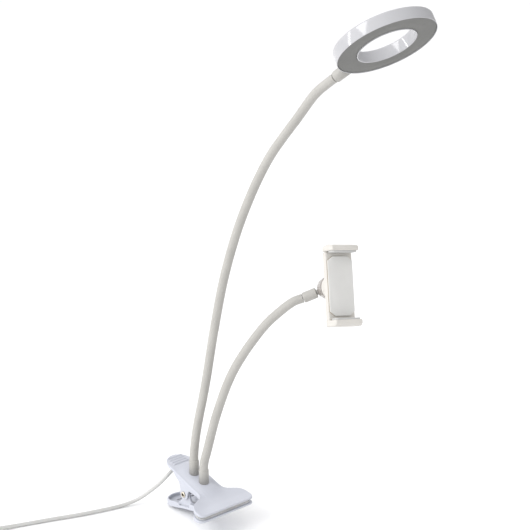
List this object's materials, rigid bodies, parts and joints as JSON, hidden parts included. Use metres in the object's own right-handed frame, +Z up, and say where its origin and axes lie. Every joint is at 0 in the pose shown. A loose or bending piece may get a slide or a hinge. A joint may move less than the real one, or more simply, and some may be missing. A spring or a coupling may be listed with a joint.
{
  "type": "clip-on reading lamp",
  "caption": "Clip-on lamp: a spring clip carries a long gooseneck with a ring light and a short gooseneck with a sprung phone clamp on a ball joint.",
  "frame": {"origin": "middle of the upper jaw pad's flat underside, where the clip sits on a table top", "axes": "+X along the clip from the handles to the jaws, +Y along the pivot rivet, +Z up"},
  "size_m": [0.364, 0.3937, 0.4905],
  "materials": {
    "clip_plastic": "satin",
    "gooseneck": "fine ribbed coating",
    "ring_white": "gloss",
    "diffuser": "frosted",
    "holder_white": "satin",
    "holder_pad": "satin",
    "rubber": "matte",
    "nickel": "worn nickel plate",
    "steel": "plain",
    "board": "solder mask",
    "cord": "satin",
    "button_grey": "matte"
  },
  "bodies": {
    "clip": {"clip_upper_half": "clip_plastic", "upper_jaw_pad": "rubber", "pivot_rivet": "nickel", "torsion_spring": "steel", "long_base_sleeve": "gooseneck", "short_base_sleeve": "gooseneck", "long_base_nut": "steel", "short_base_nut": "steel", "long_neck_1": "gooseneck", "long_neck_link_1": "steel", "short_neck_1": "gooseneck", "short_neck_link_1": "steel", "cord_grommet": "cord", "inner_lead": "cord", "cord_lead": "cord", "cord_coil": "cord", "coil_tie": "rubber", "cord_to_coil": "cord", "cord_to_plug": "cord", "switch_base": "cord", "switch_cover": "cord", "plug_body": "cord", "plug_shell": "steel"},
    "lower_half": {"clip_lower_half": "clip_plastic", "lower_jaw_pad": "rubber"},
    "long_neck_length_2": {"long_neck_2": "gooseneck", "long_neck_link_2": "steel"},
    "long_neck_length_3": {"long_neck_3": "gooseneck", "long_neck_link_3": "steel"},
    "long_neck_length_4": {"long_neck_4": "gooseneck", "long_neck_link_4": "steel"},
    "long_neck_length_5": {"long_neck_5": "gooseneck", "long_neck_link_5": "steel"},
    "long_neck_length_6": {"long_neck_6": "gooseneck", "ring_sleeve": "gooseneck", "ring_sleeve_nut": "steel", "ring_housing": "ring_white", "ring_diffuser": "diffuser", "led_board": "board"},
    "short_neck_length_2": {"short_neck_2": "gooseneck", "short_neck_link_2": "steel"},
    "short_neck_length_3": {"short_neck_3": "gooseneck", "short_neck_link_3": "steel"},
    "short_neck_length_4": {"short_neck_4": "gooseneck", "short_neck_link_4": "steel"},
    "short_neck_length_5": {"short_neck_5": "gooseneck", "holder_ball_stud": "gooseneck"},
    "ball_seat": {"ball_seat": "rubber"},
    "ball_liner": {"ball_liner": "rubber"},
    "holder": {"ball_socket": "holder_white", "holder_back": "holder_white", "holder_front_pad": "holder_pad", "lower_jaw_rubber": "rubber", "clamp_spring": "steel"},
    "ring_nut": {"ball_ring_nut": "ring_white"},
    "jaw": {"sliding_jaw": "holder_white", "upper_jaw_rubber": "rubber"},
    "button_1": {"switch_button_1": "button_grey"},
    "button_2": {"switch_button_2": "button_grey"},
    "button_3": {"switch_button_3": "button_grey"}
  },
  "joints": [
    {"name": "clip_squeeze", "type": "hinge", "parent": "clip", "child": "lower_half", "pos_m": [-0.042, 0, 0], "axis": [0, 1, 0], "range_deg": [0, 40], "stiffness_Nm_per_rad": 0.8, "springref_deg": -40.11, "deforming": ["torsion_spring"]},
    {"name": "long_neck_bend_1", "type": "hinge", "parent": "clip", "child": "long_neck_length_2", "pos_m": [-0.04124, 0.00164, 0.05522], "axis": [-0.7641, 0.6451, 0], "range_deg": [-30, 18]},
    {"name": "long_neck_bend_2", "type": "hinge", "parent": "long_neck_length_2", "child": "long_neck_length_3", "pos_m": [-0.0324, 0.01183, 0.13104], "axis": [0.6353, 0.7525, -0.174], "range_deg": [-30, 30]},
    {"name": "long_neck_bend_3", "type": "hinge", "parent": "long_neck_length_3", "child": "long_neck_length_4", "pos_m": [-0.02384, 0.02202, 0.2069], "axis": [-0.7641, 0.6451, 0], "range_deg": [-30, 30]},
    {"name": "long_neck_bend_4", "type": "hinge", "parent": "long_neck_length_4", "child": "long_neck_length_5", "pos_m": [-0.00985, 0.03872, 0.2807], "axis": [0.5978, 0.7081, -0.3758], "range_deg": [-30, 30]},
    {"name": "long_neck_bend_5", "type": "hinge", "parent": "long_neck_length_5", "child": "long_neck_length_6", "pos_m": [0.01545, 0.064, 0.34853], "axis": [-0.7641, 0.6451, 0], "range_deg": [-35, 30]},
    {"name": "short_neck_bend_1", "type": "hinge", "parent": "clip", "child": "short_neck_length_2", "pos_m": [-0.02509, 0.00268, 0.04682], "axis": [-0.7641, 0.6451, 0], "range_deg": [-15, 30]},
    {"name": "short_neck_bend_2", "type": "hinge", "parent": "short_neck_length_2", "child": "short_neck_length_3", "pos_m": [-0.0171, 0.01205, 0.09371], "axis": [-0.6094, -0.7218, 0.3281], "range_deg": [-30, 30]},
    {"name": "short_neck_bend_3", "type": "hinge", "parent": "short_neck_length_3", "child": "short_neck_length_4", "pos_m": [-0.00381, 0.02791, 0.14184], "axis": [-0.7641, 0.6451, 0], "range_deg": [-35, 30]},
    {"name": "short_neck_bend_4", "type": "hinge", "parent": "short_neck_length_4", "child": "short_neck_length_5", "pos_m": [0.01548, 0.05165, 0.18181], "axis": [-0.418, -0.4951, 0.7617], "range_deg": [-30, 30]},
    {"name": "holder_tilt", "type": "hinge", "parent": "short_neck_length_5", "child": "ball_seat", "pos_m": [0.0457, 0.0879, 0.208], "axis": [-0.38, -0.1876, 0.9058], "range_deg": [-1, 92]},
    {"name": "holder_pan", "type": "hinge", "parent": "ball_seat", "child": "ball_liner", "pos_m": [0.0457, 0.0879, 0.208], "axis": [0.0606, 0.9721, 0.2267], "range_deg": [-14, 14]},
    {"name": "holder_swivel", "type": "hinge", "parent": "ball_liner", "child": "holder", "pos_m": [0.0457, 0.0879, 0.208], "axis": [0.923, -0.141, 0.358], "range_deg": [-180, 180]},
    {"name": "ring_nut_turn", "type": "hinge", "parent": "holder", "child": "ring_nut", "pos_m": [0.0457, 0.0879, 0.208], "axis": [0.923, -0.141, 0.358], "range_deg": [-180, 0]},
    {"name": "jaw_slide", "type": "slide", "parent": "holder", "child": "jaw", "axis": [-0.3259, 0.208, 0.9222], "range_m": [0, 0.025], "stiffness_N_per_m": 60, "springref_m": -0.03, "deforming": ["clamp_spring"]},
    {"name": "button_1_press", "type": "slide", "parent": "clip", "child": "button_1", "axis": [0, 0, -1], "range_m": [0, 0.0008], "stiffness_N_per_m": 300, "springref_m": -0.001},
    {"name": "button_2_press", "type": "slide", "parent": "clip", "child": "button_2", "axis": [0, 0, -1], "range_m": [0, 0.0008], "stiffness_N_per_m": 300, "springref_m": -0.001},
    {"name": "button_3_press", "type": "slide", "parent": "clip", "child": "button_3", "axis": [0, 0, -1], "range_m": [0, 0.0008], "stiffness_N_per_m": 300, "springref_m": -0.001}
  ]
}
